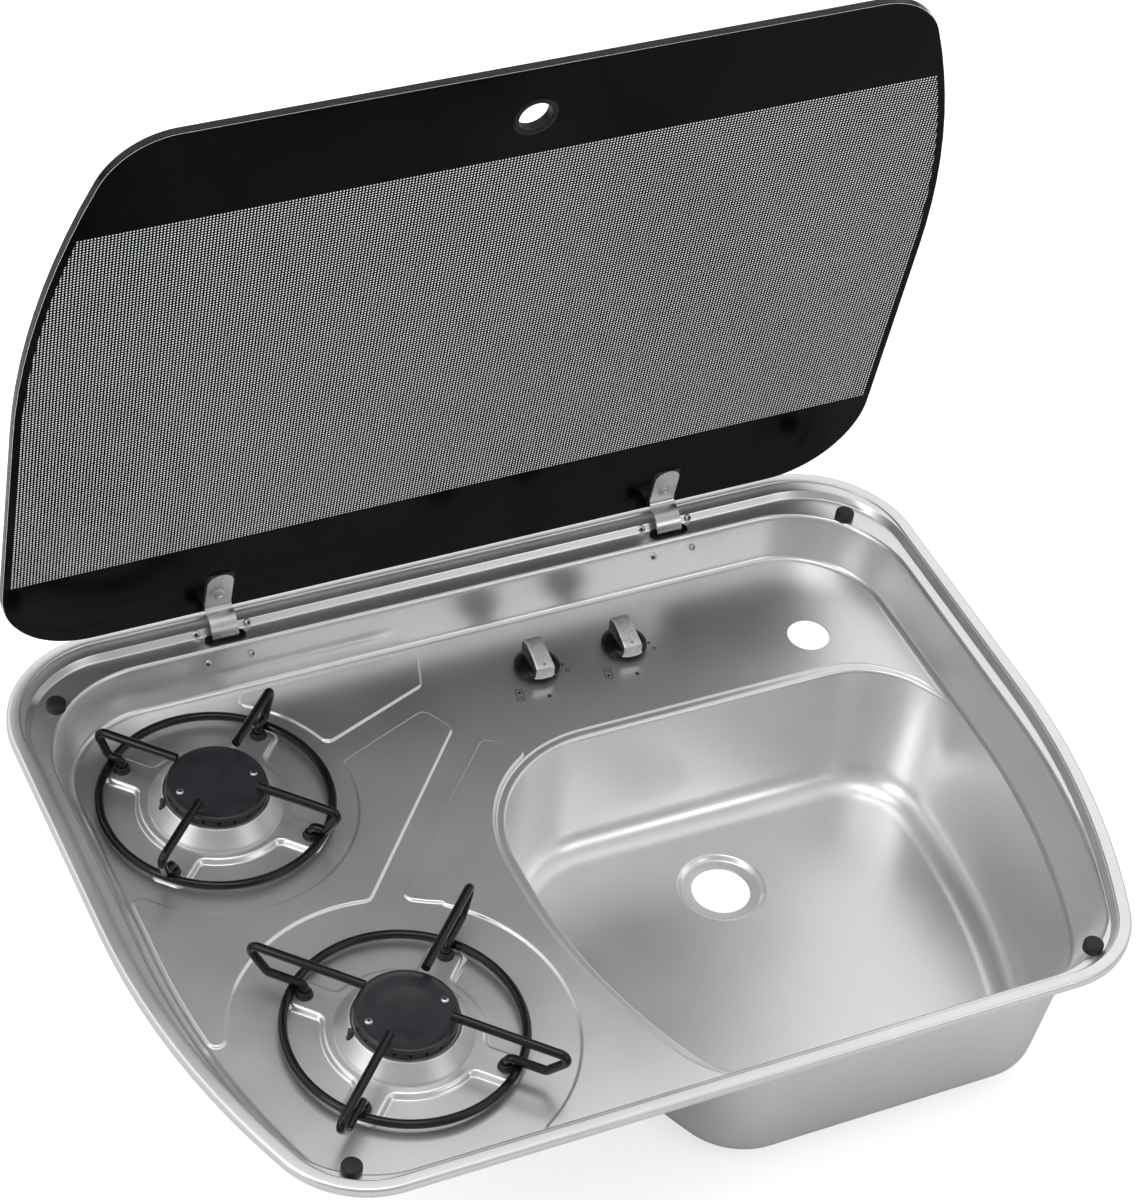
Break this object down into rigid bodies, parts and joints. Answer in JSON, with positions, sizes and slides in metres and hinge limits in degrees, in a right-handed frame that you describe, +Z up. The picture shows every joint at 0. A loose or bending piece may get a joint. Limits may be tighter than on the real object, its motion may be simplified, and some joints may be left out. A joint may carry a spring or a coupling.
{
  "type": "sink and gas hob unit",
  "caption": "Pressed steel drop-in sink bowl and gas hob in one tray, with gas burners, wire pan supports, knobs and a hinged glass lid.",
  "frame": {"origin": "middle of the tray at the worktop's upper face", "axes": "+Z up, the front edge faces -Y, +X to the bowl's side"},
  "size_m": [0.6, 0.4455, 0.5444],
  "materials": {
    "satin_steel": "satin stainless sheet",
    "polished_steel": "polished stainless pressing",
    "plated_steel": "bright zinc plate",
    "plated_pipe": "plated steel pipe",
    "cast_aluminium": "as cast",
    "brass": "turned",
    "black_rubber": "matt",
    "black_plastic": "matt",
    "silver_plastic": "metallic lacquer",
    "nylon": "plain",
    "enamelled_wire": "black enamel",
    "black_enamel": "black enamel, satin",
    "dark_glass": "toughened, printed black border"
  },
  "bodies": {
    "tray_unit": {"tray": "satin_steel", "rim_seal": "black_rubber", "buffer_rear_left": "black_rubber", "buffer_rear_right": "black_rubber", "buffer_front_left": "black_rubber", "buffer_front_right": "black_rubber", "hinge_slot_left": "black_plastic", "hinge_slot_right": "black_plastic", "hinge_bracket_left": "plated_steel", "hinge_bracket_right": "plated_steel", "hinge_pins": "plated_steel", "hinge_washers": "nylon", "hinge_screws": "plated_steel", "burner_bodies": "cast_aluminium", "burner_collars": "polished_steel", "burner_heads": "cast_aluminium", "burner_caps": "black_enamel", "cap_screws": "plated_steel", "thermocouples": "plated_steel", "foot_grommets": "black_rubber", "gas_valve_left": "cast_aluminium", "gas_valve_right": "cast_aluminium", "manifold": "cast_aluminium", "gas_jets": "brass", "gas_pipe_rear": "plated_pipe", "gas_pipe_front": "plated_pipe", "gas_inlet_pipe": "plated_pipe"},
    "lid": {"lid_glass": "dark_glass", "finger_hole_ring": "black_plastic", "hinge_strap_left": "satin_steel", "hinge_strap_right": "satin_steel", "strap_pads": "black_rubber", "strap_bolts": "plated_steel"},
    "left_spring_cup": {"spring_cup_left": "plated_steel"},
    "left_knob": {"knob_skirt_left": "black_plastic", "knob_grip_left": "silver_plastic", "spindle_left": "brass"},
    "right_spring_cup": {"spring_cup_right": "plated_steel"},
    "right_knob": {"knob_skirt_right": "black_plastic", "knob_grip_right": "silver_plastic", "spindle_right": "brass"},
    "rear_pan_support": {"pan_support_rear": "enamelled_wire"},
    "front_pan_support": {"pan_support_front": "enamelled_wire"}
  },
  "joints": [
    {"name": "lid_hinge", "type": "hinge", "parent": "tray_unit", "child": "lid", "pos_m": [0, 0.2105, -0.001], "axis": [-1, 0, 0], "range_deg": [-81.5, 8.5]},
    {"name": "left_knob_push", "type": "slide", "parent": "tray_unit", "child": "left_spring_cup", "axis": [0, 0, -1], "range_m": [0, 0.0025], "stiffness_N_per_m": 600, "springref_m": -0.002},
    {"name": "left_knob_turn", "type": "hinge", "parent": "left_spring_cup", "child": "left_knob", "pos_m": [0.034, 0.1395, -0.027], "axis": [0, 0, 1], "range_deg": [0, 210]},
    {"name": "right_knob_push", "type": "slide", "parent": "tray_unit", "child": "right_spring_cup", "axis": [0, 0, -1], "range_m": [0, 0.0025], "stiffness_N_per_m": 600, "springref_m": -0.002},
    {"name": "right_knob_turn", "type": "hinge", "parent": "right_spring_cup", "child": "right_knob", "pos_m": [0.094, 0.1395, -0.027], "axis": [0, 0, 1], "range_deg": [0, 210]},
    {"name": "rear_support_lift", "type": "slide", "parent": "tray_unit", "child": "rear_pan_support", "axis": [0, 0, 1], "range_m": [0, 0.045]},
    {"name": "front_support_lift", "type": "slide", "parent": "tray_unit", "child": "front_pan_support", "axis": [0, 0, 1], "range_m": [0, 0.045]}
  ]
}
